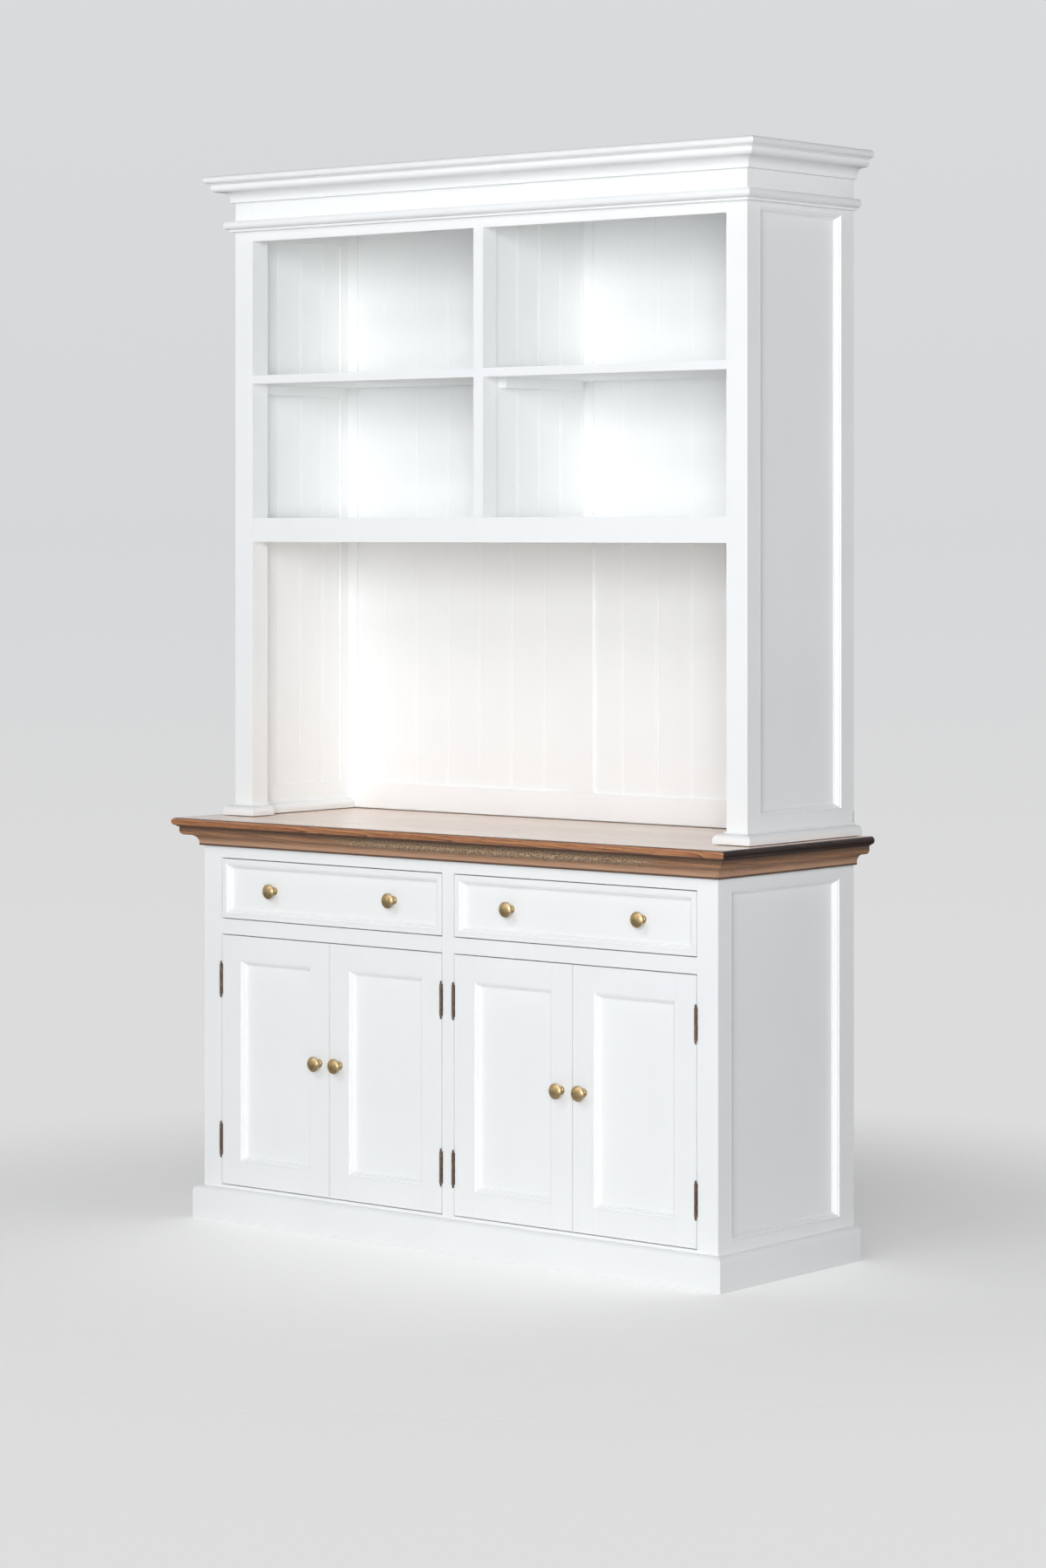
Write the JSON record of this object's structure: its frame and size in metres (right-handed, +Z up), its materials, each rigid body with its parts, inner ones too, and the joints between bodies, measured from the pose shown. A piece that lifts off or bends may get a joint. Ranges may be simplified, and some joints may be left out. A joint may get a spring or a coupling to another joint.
{
  "type": "kitchen hutch",
  "caption": "Painted two-part kitchen hutch: base with panelled doors and drawers under a wooden worktop, open shelves above, and a moulded crown.",
  "frame": {"origin": "on the floor, below the middle of the object's outer box", "axes": "+X to the right seen from the front, +Y to the back, +Z up; the doors face -Y"},
  "size_m": [1.45, 0.5, 2.2],
  "materials": {
    "white_paint": "satin white paint on wood, sprayed",
    "worktop_wood": "oiled reddish-brown hardwood with a darker moulded edge",
    "bare_wood": "planed pale softwood, unpainted",
    "brass": "brushed brass, lightly lacquered",
    "aged_bronze": "antique bronze, browned",
    "zinc_steel": "zinc-plated steel"
  },
  "bodies": {
    "root": {"base_side_frames": "white_paint", "base_face_frame": "white_paint", "base_side_panels": "white_paint", "base_side_mouldings": "white_paint", "base_back_panel": "white_paint", "base_partition": "white_paint", "base_floor": "white_paint", "base_shelves": "white_paint", "base_shelf_cleats": "white_paint", "drawer_runners": "bare_wood", "plinth_boards": "white_paint", "worktop_board": "worktop_wood", "worktop_moulding": "worktop_wood", "hinge_frame_leaves": "aged_bronze", "hinge_pins": "aged_bronze", "door_catches": "zinc_steel", "hutch_side_frames": "white_paint", "hutch_side_panels": "white_paint", "hutch_side_mouldings": "white_paint", "hutch_front_rails": "white_paint", "hutch_deck": "white_paint", "hutch_divider": "white_paint", "hutch_back_frame": "white_paint", "hutch_back_panels": "white_paint", "hutch_shelves": "white_paint", "hutch_shelf_cleats": "white_paint", "hutch_foot_moulding": "white_paint", "astragal_moulding": "white_paint", "crown_moulding": "white_paint", "crown_board": "white_paint", "joining_plates": "zinc_steel"},
    "door_1": {"door_1_frame": "white_paint", "door_1_moulding": "white_paint", "door_1_panel": "white_paint", "door_1_knob": "brass", "door_1_hardware": "aged_bronze"},
    "door_2": {"door_2_frame": "white_paint", "door_2_moulding": "white_paint", "door_2_panel": "white_paint", "door_2_knob": "brass", "door_2_hardware": "aged_bronze"},
    "door_3": {"door_3_frame": "white_paint", "door_3_moulding": "white_paint", "door_3_panel": "white_paint", "door_3_knob": "brass", "door_3_hardware": "aged_bronze"},
    "door_4": {"door_4_frame": "white_paint", "door_4_moulding": "white_paint", "door_4_panel": "white_paint", "door_4_knob": "brass", "door_4_hardware": "aged_bronze"},
    "drawer_left": {"drawer_left_front": "white_paint", "drawer_left_moulding": "white_paint", "drawer_left_box": "bare_wood", "drawer_left_knobs": "brass"},
    "drawer_right": {"drawer_right_front": "white_paint", "drawer_right_moulding": "white_paint", "drawer_right_box": "bare_wood", "drawer_right_knobs": "brass"}
  },
  "joints": [
    {"name": "door_1_hinge", "type": "hinge", "parent": "root", "child": "door_1", "pos_m": [-0.624, -0.2034, 0.337], "axis": [0, 0, -1], "range_deg": [0, 110]},
    {"name": "door_2_hinge", "type": "hinge", "parent": "root", "child": "door_2", "pos_m": [-0.016, -0.2034, 0.337], "axis": [0, 0, 1], "range_deg": [0, 87]},
    {"name": "door_3_hinge", "type": "hinge", "parent": "root", "child": "door_3", "pos_m": [0.016, -0.2034, 0.337], "axis": [0, 0, -1], "range_deg": [0, 87]},
    {"name": "door_4_hinge", "type": "hinge", "parent": "root", "child": "door_4", "pos_m": [0.624, -0.2034, 0.337], "axis": [0, 0, 1], "range_deg": [0, 110]},
    {"name": "drawer_left_slide", "type": "slide", "parent": "root", "child": "drawer_left", "axis": [0, -1, 0], "range_m": [0, 0.3]},
    {"name": "drawer_right_slide", "type": "slide", "parent": "root", "child": "drawer_right", "axis": [0, -1, 0], "range_m": [0, 0.3]}
  ]
}
